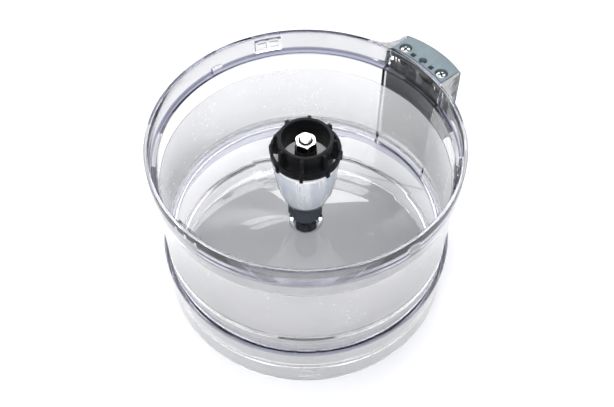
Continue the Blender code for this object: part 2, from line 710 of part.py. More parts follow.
def make_collar():
    """Ring, fins and hoop, moulded in one."""
    collar = keep(ring("finned_collar", COLLAR_INNER, COLLAR_OUTER, COLLAR_BOTTOM, COLLAR_TOP), BLACK)
    hoop_bottom = DECK_TOP + HOOP_BOTTOM
    hoop_top = DECK_TOP + HOOP_TOP
    join(collar, ring("hoop", HOOP_INNER, HOOP_OUTER, hoop_bottom, hoop_top))
    low = DECK_TOP + FIN_BOTTOM
    inside = COLLAR_OUTER - OVERLAP
    section = [
        (inside, COLLAR_TOP - SEAT),
        (FIN_REACH_TOP, COLLAR_TOP - SEAT),
        (FIN_REACH_TOP + 2 * SEAT, COLLAR_TOP - 2 * OVERLAP),
        (HOOP_INNER, hoop_top + OVERLAP),
        (FIN_REACH_BOTTOM, hoop_top - 2 * OVERLAP),
        (FIN_REACH_BOTTOM, low + OVERLAP),
        (FIN_REACH_BOTTOM - OVERLAP, low),
        (HOOP_INNER - SEAT, low),
        (inside, low + OVERLAP),
    ]
    for i in range(FIN_COUNT):
        fin = plate(f"fin_{i}", [section], -FIN_THICKNESS / 2, FIN_THICKNESS / 2)
        for vertex in fin.data.vertices:
            radius, height, across = vertex.co
            vertex.co = (radius, -across, height)
        join(collar, turn_mesh(fin, FIN_ANGLE + i * 360 / FIN_COUNT))


def make_fixed_spindle_parts():
    keep(turned("centre_post", post_profile(), ROUND_STEPS), MILKY)
    make_collar()
    gasket_inner = CARRIER_RADIUS + 2 * SEAT
    keep(ring("post_gasket", gasket_inner, POST_FOOT_RADIUS, GASKET_BOTTOM, GASKET_BOTTOM + GASKET), RUBBER)
    tube_floor = DECK_TOP - 0.5 * POST_HEIGHT + POST_WALL + SEAT
    seal_bottom = DECK_TOP - DECK
    keep(ring("upper_bush", BUSH_INNER, BUSH_OUTER, tube_floor, seal_bottom - SEAT), BRONZE)
    keep(ring("lip_seal", BUSH_INNER, BUSH_OUTER, seal_bottom, DECK_TOP - SEAT), RUBBER)

    taper = SHOULDER_HEIGHT * 0.25
    bore = BUSH_OUTER + SEAT
    carrier = keep(turned("bearing_carrier", [
        (CARRIER_RADIUS, BOSS_TOP),
        (CARRIER_RADIUS, CARRIER_BOTTOM + taper),
        (CARRIER_RADIUS - taper / 2, CARRIER_BOTTOM),
        (bore, CARRIER_BOTTOM),
        (bore, BOSS_TOP),
    ], ROUND_STEPS), GREY)
    for name, angle, bottom, top, length in CARRIER_KEYS:
        join(carrier, key_block("carrier_" + name, angle, bottom, top, length, 0))
    flange = BUSH_OUTER + BUSH_WALL * 0.7
    keep(turned("lower_bush", [
        (flange, BUSH_FLANGE_TOP),
        (flange, BOSS_TOP + SEAT),
        (BUSH_OUTER, BOSS_TOP + SEAT),
        (BUSH_OUTER, CARRIER_BOTTOM + SEAT),
        (BUSH_INNER, CARRIER_BOTTOM + SEAT),
        (BUSH_INNER, BUSH_FLANGE_TOP),
    ], ROUND_STEPS), BRONZE)
    keep(ring("thrust_washer", BORE, COUPLING_RADIUS, THRUST_TOP - THRUST, THRUST_TOP), BRONZE)


def fluted(name, radius, depth, flutes, bottom, top):
    """A splined sleeve on the shaft."""
    radii = [radius, radius, radius - depth, radius - depth] * flutes
    outlines = [polar_outline(radii), polar_outline([BORE] * ROUND_STEPS)]
    return plate(name, outlines, bottom, top)


def make_rotor():
    groove = SHAFT_RADIUS * 0.85
    shaft = [
        (0, SHAFT_TOP),
        (SHAFT_RADIUS - OVERLAP, SHAFT_TOP),
        (SHAFT_RADIUS, SHAFT_TOP - OVERLAP),
        (SHAFT_RADIUS, RING_BOTTOM + RING + SEAT),
        (groove, RING_BOTTOM + RING + SEAT),
        (groove, RING_BOTTOM - SEAT / 2),
        (SHAFT_RADIUS, RING_BOTTOM - SEAT / 2),
        (SHAFT_RADIUS, COUPLING_BOTTOM + NOSE_HEIGHT),
        (SHAFT_TIP_RADIUS, COUPLING_BOTTOM + NOSE_HEIGHT / 2),
        (SHAFT_TIP_RADIUS, SHAFT_BOTTOM + OVERLAP),
        (SHAFT_TIP_RADIUS - OVERLAP, SHAFT_BOTTOM),
        (0, SHAFT_BOTTOM),
    ]
    rod = keep(turned("drive_shaft", shaft, ROUND_STEPS, closed=False), STEEL)
    keep(fluted("drive_hub", HUB_RADIUS, 0.0006, 12, HUB_BOTTOM, HUB_TOP), BLACK)
    keep(ring("nut_washer", BORE, WASHER_RADIUS, HUB_TOP + SEAT, WASHER_TOP), STEEL)
    corner = NUT_ACROSS_FLATS / 2 / math.cos(math.pi / 6)
    nut_outlines = [polar_outline([corner] * 6, math.radians(FIN_ANGLE)), polar_outline([BORE] * ROUND_STEPS)]
    nut = keep(plate("shaft_nut", nut_outlines, WASHER_TOP + SEAT, NUT_TOP), STEEL)
    chamfer = turned("nut_chamfer", [
        (corner + OVERLAP, NUT_TOP + OVERLAP),
        (corner + OVERLAP, NUT_TOP - corner * 0.17 - OVERLAP * 0.5),
        (corner - OVERLAP * 1.8, NUT_TOP + OVERLAP),
    ], ROUND_STEPS)
    cut(nut, chamfer)

    nose = COUPLING_BOTTOM + NOSE_HEIGHT
    coupling = keep(turned("drive_coupling", [
        (COUPLING_RADIUS, COUPLING_TOP),
        (COUPLING_RADIUS, nose),
        (COUPLING_NOSE_RADIUS, COUPLING_BOTTOM),
        (SHAFT_TIP_RADIUS + SEAT, COUPLING_BOTTOM),
        (SHAFT_TIP_RADIUS + SEAT, COUPLING_BOTTOM + NOSE_HEIGHT / 2 - 2 * SEAT),
        (BORE, nose - SEAT),
        (BORE, COUPLING_TOP),
    ], ROUND_STEPS), GREY)
    for i in range(6):
        angle = i * math.pi / 3
        groove_at = COUPLING_RADIUS + OVERLAP
        cut(coupling, cylinder(
            f"spline_{i}", 3 * OVERLAP, COUPLING_BOTTOM - OVERLAP, nose + COUPLING_HEIGHT * 0.5,
            groove_at * math.cos(angle), groove_at * math.sin(angle), steps=12,
        ))
    pin_height = COUPLING_TOP - COUPLING_HEIGHT * 0.25
    length = 2 * (COUPLING_RADIUS - 3 * SEAT)
    pin = keep(cylinder("coupling_pin", PIN_RADIUS, -length / 2, length / 2, steps=16), STEEL)
    pin.rotation_euler = (0, math.pi / 2, math.radians(30))
    pin.location.z = pin_height
    for target in (rod, coupling):
        drill = cylinder("pin_hole", PIN_RADIUS + SEAT, -COUPLING_RADIUS * 1.2, COUPLING_RADIUS * 1.2, steps=16)
        cut(target, drill)
        drill.rotation_euler = pin.rotation_euler
        drill.location.z = pin_height
    snap = keep(
        ring("retaining_ring", groove + SEAT, SHAFT_RADIUS + 0.003, RING_BOTTOM, RING_BOTTOM + RING),
        STEEL,
    )
    cut(snap, box(
        "ring_mouth", (0, -groove * 0.7, RING_BOTTOM - OVERLAP),
        (2 * SHAFT_RADIUS, groove * 0.7, RING_BOTTOM + RING + OVERLAP),
    ))


make_bowl()
make_handle()
make_screws()
make_interlock()
make_fixed_spindle_parts()
make_rotor()
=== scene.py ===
import math

import bpy
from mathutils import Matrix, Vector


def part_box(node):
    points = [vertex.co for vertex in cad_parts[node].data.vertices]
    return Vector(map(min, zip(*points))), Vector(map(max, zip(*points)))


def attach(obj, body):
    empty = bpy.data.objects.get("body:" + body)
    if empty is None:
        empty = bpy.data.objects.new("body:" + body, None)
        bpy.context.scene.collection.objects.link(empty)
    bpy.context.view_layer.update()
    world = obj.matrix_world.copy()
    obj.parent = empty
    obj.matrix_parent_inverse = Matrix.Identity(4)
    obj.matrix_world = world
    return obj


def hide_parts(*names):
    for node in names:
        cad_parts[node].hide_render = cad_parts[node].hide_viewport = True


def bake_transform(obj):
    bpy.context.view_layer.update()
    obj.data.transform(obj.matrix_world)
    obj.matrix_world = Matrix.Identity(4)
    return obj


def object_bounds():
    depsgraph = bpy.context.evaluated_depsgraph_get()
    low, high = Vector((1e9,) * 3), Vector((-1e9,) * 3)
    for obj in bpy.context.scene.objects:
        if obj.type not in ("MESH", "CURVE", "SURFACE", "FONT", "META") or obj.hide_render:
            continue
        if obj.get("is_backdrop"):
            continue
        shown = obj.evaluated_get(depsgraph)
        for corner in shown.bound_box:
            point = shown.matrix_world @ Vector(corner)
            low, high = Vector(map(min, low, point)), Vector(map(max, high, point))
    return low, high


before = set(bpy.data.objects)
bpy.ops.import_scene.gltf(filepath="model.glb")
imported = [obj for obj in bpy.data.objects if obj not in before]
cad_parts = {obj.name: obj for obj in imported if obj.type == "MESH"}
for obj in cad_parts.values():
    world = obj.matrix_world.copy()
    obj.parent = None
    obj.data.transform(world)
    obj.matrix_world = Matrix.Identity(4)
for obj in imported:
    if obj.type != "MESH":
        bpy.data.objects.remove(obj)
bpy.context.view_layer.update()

bpy.ops.object.select_all(action="DESELECT")


# ---------------------------------------------------------------- where it stands
# A wide sheet of pale studio card, and a camera that looks down into the bowl from in front
# of its handle side. The bowl's own axis is the middle of its drive shaft.
shaft_low, shaft_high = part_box("drive_shaft")
axis_x = (shaft_low.x + shaft_high.x) / 2
heading, pitch = -40.8, 52.35
camera_out, camera_up = 0.3705, 0.5525
camera_turn = math.radians(heading)

bpy.context.scene.view_settings.view_transform = "Standard"
bpy.ops.object.camera_add(
    location=(axis_x + camera_out * math.sin(camera_turn), -camera_out * math.cos(camera_turn), camera_up),
    rotation=(math.radians(90 - pitch), 0, math.radians(heading - 0.12)),
)
camera = bpy.context.object
camera.name = "camera"
camera.rotation_euler.rotate_axis("Z", math.radians(-0.149))
camera.data.lens = 48.61
camera.data.sensor_width = 36
camera.data.clip_start = 0.01
bpy.context.scene.camera = camera

bpy.ops.mesh.primitive_grid_add(x_subdivisions=8, y_subdivisions=8, size=7, location=(0, 0, -0.0002))
card = bpy.context.object
card.name = "studio_card"
card_paper = bpy.data.materials.new("studio_card")
card_paper.use_nodes = True
paper = card_paper.node_tree.nodes["Principled BSDF"]
paper.inputs["Base Color"].default_value = (0.9, 0.9, 0.91, 1)
paper.inputs["Roughness"].default_value = 0.9
paper.inputs["Specular IOR Level"].default_value = 0.1
card.data.materials.append(card_paper)
card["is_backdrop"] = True


# ---------------------------------------------------------------- studio light
# A big soft overhead, a wide panel behind the bowl that shines along its floor, and fills
# from the left and the front. The room beyond them is an even grey for the clear edges.
def soft_panel(name, across, tall, power, out, height, turn, aim_height):
    """A softbox that stands out from the bowl at a turn from the camera's heading and faces it."""
    angle = math.radians(heading + turn)
    spot = (axis_x + out * -math.sin(angle), out * math.cos(angle), height)
    bpy.ops.object.light_add(type="AREA", location=spot)
    panel = bpy.context.object
    panel.name = name
    panel.data.shape = "RECTANGLE"
    panel.data.size, panel.data.size_y, panel.data.energy = across, tall, power
    tilt = math.atan2(out, height - aim_height)
    panel.rotation_euler = (-tilt, 0, angle)
    return panel


soft_panel("overhead_softbox", 1.6, 1.2, 10, 0.25, 1.6, 180, 0.1)
soft_panel("back_panel", 2.4, 0.42, 26, 1.2, 1.235, 0, 0.054)
soft_panel("left_fill", 1.2, 1.0, 4, 1.3, 0.9, 95, 0.08)
soft_panel("front_fill", 1.6, 0.8, 18, 1.3, 1.0, 180, 0.08)

room = bpy.data.worlds.new("studio_room")
room.use_nodes = True
room.node_tree.nodes["Background"].inputs["Color"].default_value = (0.60, 0.61, 0.64, 1)
room.node_tree.nodes["Background"].inputs["Strength"].default_value = 0.7
bpy.context.scene.world = room


# ---------------------------------------------------------------- the bowl
# One injection moulding in clear copolyester: wall, thick rim band, inner ledge, floor with a
# boss for the spindle, a foot flange and a skirt below it. Its section is drawn once and spun.
def draw_line(name, points):
    """A line of corners, drawn on from a single one."""
    bpy.ops.object.select_all(action="DESELECT")
    bpy.ops.mesh.primitive_plane_add(size=0.001, location=points[0])
    piece = bpy.context.object
    piece.name = piece.data.name = name
    bpy.ops.object.mode_set(mode="EDIT")
    bpy.ops.mesh.select_all(action="SELECT")
    bpy.ops.mesh.merge(type="CENTER")
    for here, there in zip(points, points[1:]):
        step = [b - a for a, b in zip(here, there)]
        bpy.ops.mesh.extrude_vertices_move(TRANSFORM_OT_translate={"value": step})
    bpy.ops.mesh.select_all(action="SELECT")
    bpy.ops.mesh.remove_doubles(threshold=0.0000005)
    return piece


def close_shape(piece):
    """Merge the seams, turn every face outwards and leave the piece in place at the origin."""
    bpy.ops.mesh.select_all(action="SELECT")
    bpy.ops.mesh.remove_doubles(threshold=0.000002)
    bpy.ops.mesh.normals_make_consistent(inside=False)
    bpy.ops.object.mode_set(mode="OBJECT")
    bpy.ops.object.transform_apply(location=True, rotation=True, scale=True)
    return piece


def ease(points, size):
    """Take the sharpness off every corner of a closed outline."""
    eased = []
    for i, corner in enumerate(points):
        before, after = points[i - 1], points[(i + 1) % len(points)]
        ends = []
        for other in (before, after):
            length = math.dist(corner, other)
            share = min(size / length, 0.4)
            ends.append([c + (o - c) * share for c, o in zip(corner, other)])
        middle = [0.25 * a + 0.5 * c + 0.25 * b for a, c, b in zip(ends[0], corner, ends[1])]
        eased += [tuple(ends[0]), tuple(middle), tuple(ends[1])]
    return eased


def spin_section(name, section, steps=96, x=0.0, y=0.0, solid=False):
    """Spin a half section of (radius, height) about the bowl's axis, or about one beside it."""
    line = [(axis_x + x + r, y, z) for r, z in section]
    piece = draw_line(name, line if solid else line + line[:1])
    bpy.ops.mesh.spin(
        steps=steps, angle=2 * math.pi, center=(axis_x + x, y, 0), axis=(0, 0, 1)
    )
    return close_shape(piece)


def raise_plan(name, plan, bottom, top):
    """Draw a plan of (x, y) from the bowl's axis, fill it and extrude it up."""
    line = [(axis_x + x, y, bottom) for x, y in plan]
    piece = draw_line(name, line + line[:1])
    bpy.ops.mesh.edge_face_add()
    bpy.ops.mesh.extrude_region_move(TRANSFORM_OT_translate={"value": (0, 0, top - bottom)})
    return close_shape(piece)


def apply_change(piece, kind, **settings):
    change = piece.modifiers.new("change", kind)
    for setting, value in settings.items():
        setattr(change, setting, value)
    bpy.context.view_layer.objects.active = piece
    bpy.ops.object.modifier_apply(modifier=change.name)


def fuse(piece, *others):
    for other in others:
        apply_change(piece, "BOOLEAN", operation="UNION", solver="EXACT", object=other)
        bpy.data.objects.remove(other, do_unlink=True)


def cut_away(piece, *others):
    for other in others:
        apply_change(piece, "BOOLEAN", operation="DIFFERENCE", solver="EXACT", object=other)
        bpy.data.objects.remove(other, do_unlink=True)


def round_off(piece, width, segments=2, angle=35):
    apply_change(
        piece, "BEVEL", width=width, segments=segments, limit_method="ANGLE",
        angle_limit=math.radians(angle), harden_normals=False,
    )


def set_piece(piece, body, slot, paint, *nodes, sharp=32):
    """Smooth shading, its finish, and the CAD pieces that it stands for."""
    bpy.ops.object.select_all(action="DESELECT")
    piece.select_set(True)
    bpy.context.view_layer.objects.active = piece
    bpy.ops.object.shade_smooth_by_angle(angle=math.radians(sharp))
    piece.data.materials.clear()
    piece.data.materials.append(paint)
    piece.select_set(False)
    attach(piece, body)
    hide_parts(*nodes)


def round_arc(radius, start, end, steps, x=0.0, y=0.0):
    turns = [math.radians(start + (end - start) * i / steps) for i in range(steps + 1)]
    return [(x + radius * math.cos(a), y + radius * math.sin(a)) for a in turns]


def curved_block(name, inner, outer, bottom, top, middle, length, steps=8):
    """A block that follows the bowl's wall: its length is along the outer side."""
    half = math.degrees(length / outer) / 2
    plan = round_arc(outer, middle - half, middle + half, steps)
    plan += round_arc(inner, middle + half, middle - half, steps)
    return raise_plan(name, plan, bottom, top)


rim_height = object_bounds()[1][2]
carrier_low, carrier_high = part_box("bearing_carrier")
boss_top, shoulder = carrier_high.z, carrier_low.z - 0.0003
band_outer, band_inner, band_low = 0.1070, 0.1044, 0.1282
wall_outer, wall_inner = 0.1038, 0.1010
skirt_outer, skirt_inner = 0.1058, 0.1030
flange_low, flange_high, under_floor = 0.0390, 0.0443, 0.0510
section = ease([
    (band_outer, rim_height), (band_outer, band_low), (wall_outer, 0.1250), (wall_outer, flange_high),
    (band_outer, flange_high), (band_outer, flange_low), (skirt_outer, flange_low), (skirt_outer, 0.0),
    (skirt_inner, 0.0), (skirt_inner, 0.0170), (0.0997, 0.0170), (0.0997, 0.0190),
    (skirt_inner, 0.0190), (skirt_inner, flange_low), (wall_inner, 0.0418), (wall_inner, 0.0480),
    (0.0980, under_floor), (0.0086, under_floor), (0.0086, shoulder), (0.0112, shoulder),
    (0.0112, boss_top), (0.0119, boss_top), (0.0119, 0.0543), (0.0122, 0.0540),
], 0.0005)
section += [(0.095 + x, 0.06 + z) for x, z in round_arc(0.006, -90, 0, 8)]
section += ease([
    (wall_inner, 0.1103), (0.1007, 0.1106), (0.1007, 0.1113), (wall_inner, 0.1116),
    (wall_inner, 0.1269), (band_inner, band_low), (band_inner, rim_height),
], 0.0005)[1:]
bowl = spin_section("bowl_body", section, steps=240)


def windowed_lug(name, wall, reach, bottom, height, middle, length, windows, frame_bar=0.0022):
    """A locking lug inside a wall, with windows moulded through it."""
    lug = curved_block(name, wall - reach, wall + 0.0006, bottom, bottom + height, middle, length)
    opening = (length - (windows + 1) * frame_bar) / windows
    pitch = math.degrees((opening + frame_bar) / wall)
    for i in range(windows):
        cut_away(lug, curved_block(
            name + "_window", wall - reach - 0.001, wall - 0.0003, bottom + frame_bar,
            bottom + height - frame_bar, middle + (i - (windows - 1) / 2) * pitch, opening, steps=4,
        ))
    return lug


for turn in (64.8, 184.8, 304.8):
    fuse(bowl, windowed_lug("lid_lug", band_inner, 0.0026, 0.132, 0.010, turn, 0.020, 2))
for turn in (88.2, 268.2):
    fuse(bowl, curved_block("stop_tab", 0.1022, 0.1050, 0.1269, 0.1332, turn, 0.009))
for turn in (50.4, 140.4, 230.4, 320.4):
    fuse(bowl, windowed_lug("base_lug", skirt_inner, 0.0026, 0.005, 0.011, turn, 0.014, 1))

for turn, low in ((140.4, boss_top - 0.0128), (320.4, boss_top - 0.0043)):
    cut_away(bowl, curved_block("keyway", 0.0105, 0.0135, low, boss_top + 0.001, turn, 0.0066))


def raised_line(name, points, width, bottom, top):
    """A narrow raised line on the floor that follows these points."""
    sides = [[], []]
    for i, (x, y) in enumerate(points):
        before, after = points[max(i - 1, 0)], points[min(i + 1, len(points) - 1)]
        run = math.atan2(after[1] - before[1], after[0] - before[0])
        for side, sign in zip(sides, (1, -1)):
            side.append((x - sign * width / 2 * math.sin(run), y + sign * width / 2 * math.cos(run)))
    return raise_plan(name, sides[0] + sides[1][::-1], bottom, top)


# Two shallow raised outlines on the floor, each side of the spindle, left by the mould.
def from_handle(points, turn=heading):
    """Points drawn across the bowl with its handle turned away, brought back to the handle."""
    a = math.radians(turn)
    return [(x * math.cos(a) - y * math.sin(a), x * math.sin(a) + y * math.cos(a)) for x, y in points]


right_mark = [(0.0345, 0.0890), (0.0500, 0.0800), (0.0530, 0.0760), (0.0420, 0.0540), (0.0395, 0.0480),
              (0.0405, 0.0440), (0.0452, 0.0418), (0.0600, 0.0368), (0.0900, 0.0274)]
left_mark = [(-0.0400, 0.0540), (-0.0250, 0.0440), (-0.0217, 0.0415), (-0.0205, 0.0385), (-0.0213, 0.0340),
             (-0.0240, 0.0300), (-0.0276, 0.0270)]
for name, points in (("right_mark", right_mark), ("left_mark", left_mark)):
    fuse(bowl, raised_line(name, from_handle(points), 0.0008, 0.0536, 0.0544))
# A short fill scale on the wall: ticks that stand a little proud of it.
for step in range(9):
    long = 0.0080 if step % 4 == 0 else 0.0045
    height = 0.0770 + 0.0060 * step
    if abs(height - 0.1110) > 0.0015:
        tick = curved_block("tick", 0.1007, 0.1013, height, height + 0.0008, heading + 1.5, long, steps=3)
        fuse(bowl, tick)
for turn in (-2.1, 2.1):
    nib_turn = heading - 90 + 2 * turn
    fuse(bowl, curved_block("flange_nib", 0.1050, band_outer, 0.0436, 0.0449, nib_turn, 0.0012, steps=2))

# The two cheeks that hold the handle, the curved saddles that run from the rim band into
# them, and the shelf under the handle's cap, all part of the same moulding.
band_middle = 0.10492
cheek_in, cheek_out, cheek_end = 0.0249, 0.0271, 0.1207
for side in (-1, 1):
    low_x = math.sqrt(0.1024**2 - cheek_out**2)
    top_x = math.sqrt(band_middle**2 - cheek_in**2)
    plan = [(low_x, cheek_in), (cheek_end, cheek_in), (cheek_end, cheek_out), (low_x, cheek_out)]
    fuse(bowl, raise_plan("cheek_low", ease([(x, side * y) for x, y in plan], 0.0004), 0.0446, 0.1266))
    plan = [(top_x, cheek_in), (cheek_end, cheek_in), (cheek_end, cheek_out), (top_x, cheek_out)]
    fuse(bowl, raise_plan("cheek_top", ease([(x, side * y) for x, y in plan], 0.0004), 0.1260, rim_height))
    fillet_y = cheek_out + 0.020
    fillet_x = math.sqrt(0.127**2 - fillet_y**2)
    on_rim = math.degrees(math.atan2(fillet_y, fillet_x))
    start = math.degrees(math.asin(0.026 / 0.1057))
    plan = round_arc(0.1057, start, on_rim + 1.0, 12)
    plan += round_arc(0.020, on_rim + 180, 270, 20, x=fillet_x, y=fillet_y)
    plan += [(fillet_x, 0.026)]
    fuse(bowl, raise_plan("saddle", [(x, side * y) for x, y in plan], 0.1282, rim_height))
edge = math.degrees(math.asin(0.0255 / band_middle))
shelf = raise_plan(
    "shelf", round_arc(band_middle, edge, -edge, 20) + [(cheek_end, -0.0255), (cheek_end, 0.0255)],
    0.1355, 0.1390,
)
fuse(bowl, shelf)
screw_x, screw_y, rod_x = 0.1116, 0.0176, 0.1112
for y in (-screw_y, screw_y):
    cut_away(bowl, spin_section(
        "screw_hole", [(0, 0.130), (0.0022, 0.130), (0.0022, 0.1396), (0, 0.1396)], 32, screw_x, y, True,
    ))
cut_away(bowl, spin_section(
    "rod_hole", [(0, 0.130), (0.0026, 0.130), (0.0026, 0.1396), (0, 0.1396)], 32, rod_x, 0, True,
))

# Clear copolyester with a faint lavender cast at its thick edges. Washing has left fine
# scuffs, and the inside of the wall has worn to a satin haze below the fill line. Round the
# bearing carrier the boss is coloured as dark as the carrier behind it.
carrier_dark = (0.066, 0.074, 0.090)
clear = bpy.data.materials.new("clear_bowl")
clear.use_nodes = True
tree = clear.node_tree
glass = tree.nodes["Principled BSDF"]
glass.inputs["IOR"].default_value = 1.56
glass.inputs["Specular IOR Level"].default_value = 0.5


def node(tree, kind, **settings):
    made = tree.nodes.new("ShaderNode" + kind)
    for setting, value in settings.items():
        setattr(made, setting, value)
    return made


def calc(tree, operation, first, second=0.0, clamp=False):
    """One sum on two numbers or sockets."""
    made = node(tree, "Math", operation=operation, use_clamp=clamp)
    for socket, value in zip(made.inputs, (first, second)):
        if isinstance(value, (int, float)):
            socket.default_value = value
        else:
            tree.links.new(value, socket)
    return made.outputs[0]


def place_of(tree, x=0.0, y=0.0, z=0.0):
    """Object coordinates measured from a point on the piece."""
    coordinates = node(tree, "TexCoord")
    mapping = node(tree, "Mapping")
    mapping.inputs["Location"].default_value = (-x, -y, -z)
    tree.links.new(coordinates.outputs["Object"], mapping.inputs["Vector"])
    return mapping.outputs["Vector"]


def noise(tree, vector, scale, detail=3.0, rough=0.5):
    made = node(tree, "TexNoise")
    made.inputs["Scale"].default_value = scale
    made.inputs["Detail"].default_value = detail
    made.inputs["Roughness"].default_value = rough
    tree.links.new(vector, made.inputs["Vector"])
    return made.outputs["Fac"]


def between(tree, value, low, high, out_low, out_high):
    """Map a run of values on to another, held at its ends."""
    made = node(tree, "MapRange", clamp=True)
    for name, number in (("From Min", low), ("From Max", high), ("To Min", out_low), ("To Max", out_high)):
        made.inputs[name].default_value = number
    tree.links.new(value, made.inputs["Value"])
    return made.outputs["Result"]


def bumps(tree, height, distance, shader, strength=1.0):
    made = node(tree, "Bump")
    made.inputs["Distance"].default_value = distance
    made.inputs["Strength"].default_value = strength
    tree.links.new(height, made.inputs["Height"])
    tree.links.new(made.outputs["Normal"], shader.inputs["Normal"])


def round_place(tree, x=0.0, y=0.0):
    """The distance from an upright axis at x and y either side, the height, and the way forward."""
    split = node(tree, "SeparateXYZ")
    tree.links.new(place_of(tree, x=x), split.inputs[0])
    width = calc(tree, "SUBTRACT", calc(tree, "ABSOLUTE", split.outputs["Y"]), y)
    squares = calc(tree, "ADD", calc(tree, "MULTIPLY", split.outputs["X"], split.outputs["X"]),
                   calc(tree, "MULTIPLY", width, width))
    return calc(tree, "SQRT", squares), split.outputs["Z"], split.outputs["X"]


spot = place_of(tree, x=axis_x)
radius, height = round_place(tree, x=axis_x)[:2]
inside = between(tree, radius, 0.1016, 0.1012, 0.0, 1.0)
off_floor = between(tree, height, 0.057, 0.061, 0.0, 1.0)
below_line = between(tree, height, 0.1112, 0.1106, 0.0, 1.0)
on_wall = between(tree, radius, 0.0985, 0.1003, 0.0, 1.0)
worn = calc(tree, "MULTIPLY", calc(tree, "MULTIPLY", inside, off_floor),
            calc(tree, "MULTIPLY", below_line, on_wall))
patchy = between(tree, noise(tree, spot, 30.0, 2.0), 0.3, 0.7, 0.93, 1.0)
haze = calc(tree, "MULTIPLY", worn, patchy)
sleeve = calc(tree, "MULTIPLY", between(tree, radius, 0.0126, 0.0124, 0.0, 1.0),
              between(tree, height, 0.0640, 0.0645, 0.0, 1.0))
solid = calc(tree, "MAXIMUM", sleeve, calc(tree, "MULTIPLY", haze, 0.58))
tree.links.new(calc(tree, "SUBTRACT", 1.0, solid), glass.inputs["Transmission Weight"])
thick = calc(tree, "MAXIMUM", between(tree, height, 0.1430, 0.1438, 0.0, 1.0),
             between(tree, calc(tree, "ABSOLUTE", calc(tree, "SUBTRACT", height, 0.1268)),
                     0.0020, 0.0028, 1.0, 0.0))
thick = calc(tree, "MAXIMUM", thick, between(
    tree, calc(tree, "ABSOLUTE", calc(tree, "SUBTRACT", height, 0.0416)), 0.0026, 0.0034, 1.0, 0.0))
thick = calc(tree, "MULTIPLY", thick, between(tree, radius, 0.1012, 0.1018, 0.0, 1.0))


def tint(tree, share, plain, tinted):
    """Two colours mixed by a share; either may be a colour or a socket."""
    made = node(tree, "Mix", data_type="RGBA")
    tree.links.new(share, made.inputs[0])
    for socket, value in ((made.inputs[6], plain), (made.inputs[7], tinted)):
        if isinstance(value, tuple):
            socket.default_value = (*value, 1)
        else:
            tree.links.new(value, socket)
    return made.outputs[2]


band = calc(tree, "MULTIPLY", between(tree, radius, 0.1012, 0.1018, 0.0, 1.0),
            between(tree, height, 0.1285, 0.1290, 0.0, 1.0))
cast = tint(tree, band, (0.88, 0.88, 0.885), (0.72, 0.72, 0.73))
cast = tint(tree, thick, cast, (0.34, 0.35, 0.47))
# Painted shade: a near-black line at the step under the rim band, where the band meets the wall.
painted_crease_shade = calc(tree, "MULTIPLY", between(tree, radius, 0.1034, 0.1037, 0.0, 1.0), between(
    tree, calc(tree, "ABSOLUTE", calc(tree, "SUBTRACT", height, 0.1281)), 0.0005, 0.0008, 1.0, 0.0))
cast = tint(tree, painted_crease_shade, cast, (0.10, 0.10, 0.14))
cast = tint(tree, haze, cast, (0.97, 0.97, 0.98))
cast = tint(tree, between(tree, radius, 0.0128, 0.0132, 1.0, 0.0), cast, (0.55, 0.56, 0.58))
tree.links.new(tint(tree, sleeve, cast, carrier_dark), glass.inputs["Base Color"])
scuffs = between(tree, noise(tree, spot, 420.0, 4.0, 0.6), 0.5, 0.8, 0.0, 0.03)
tree.links.new(calc(tree, "ADD", calc(tree, "ADD", scuffs, 0.015), calc(tree, "MULTIPLY", haze, 0.25)),
               glass.inputs["Roughness"])
bumps(tree, noise(tree, spot, 60.0, 1.0), 0.00001, glass)
set_piece(bowl, "bowl", "clear_plastic", clear, "bowl_body", sharp=28)
# The boss and the floor next to it bend light much less, so that the spindle shows through.
thin_clear = clear.copy()
thin_clear.name = "clear_bowl_thin"
thin_clear.node_tree.nodes["Principled BSDF"].inputs["IOR"].default_value = 1.04
bowl.data.materials.append(thin_clear)
for face in bowl.data.polygons:
    if math.hypot(face.center.x - axis_x, face.center.y) < 0.0165 and face.center.z > 0.05:
        face.material_index = 1


# ---------------------------------------------------------------- bearing carrier
# A dark moulded bush housing pressed up into the bowl's boss, with an ear and two keys that
# stop it turning. The bushes, seal and thrust washer inside it are turned bronze and rubber.
def moulded(name, colour, shade, rough, grain=0.00003, grain_scale=1500.0):
    """Moulded plastic: two close shades, uneven gloss and a fine spark-eroded grain."""
    made = bpy.data.materials.new(name)
    made.use_nodes = True
    tree = made.node_tree
    shader = tree.nodes["Principled BSDF"]
    spot = place_of(tree)
    ramp = node(tree, "ValToRGB")
    ramp.color_ramp.elements[0].position, ramp.color_ramp.elements[1].position = 0.35, 0.65
    ramp.color_ramp.elements[0].color = (*shade, 1)
    ramp.color_ramp.elements[1].color = (*colour, 1)
    tree.links.new(noise(tree, spot, 70.0, 5.0, 0.6), ramp.inputs["Fac"])
    tree.links.new(ramp.outputs["Color"], shader.inputs["Base Color"])
    gloss = between(tree, noise(tree, spot, 220.0, 4.0), 0.3, 0.7, rough - 0.06, rough + 0.08)
    tree.links.new(gloss, shader.inputs["Roughness"])
    bumps(tree, noise(tree, spot, grain_scale, 2.0), grain, shader)
    return made


carrier = spin_section("bearing_carrier", ease([
    (0.0109, boss_top), (0.0109, carrier_low.z + 0.0022), (0.0098, carrier_low.z),
    (0.0069, carrier_low.z), (0.0069, boss_top),
], 0.0003), 96)
for turn, low, high, reach in (
    (140.4, 0.0125, 0.0055, 0.0131), (140.4, 0.0015, 0.0, 0.0131), (320.4, 0.004, 0.0, 0.0131),
):
    fuse(carrier, curved_block("key", 0.0097, reach, boss_top - low, boss_top - high, turn, 0.006))
for turn in (50.4, 230.4):
    groove = curved_block("groove", 0.0098, 0.0115, boss_top - 0.009, boss_top - 0.0012, turn, 0.0034)
    cut_away(carrier, groove)
dark_grey = moulded("dark_grey_moulding", (0.075, 0.084, 0.100), (0.058, 0.066, 0.080), 0.38)
set_piece(carrier, "bowl", "dark_grey_plastic", dark_grey, "bearing_carrier")


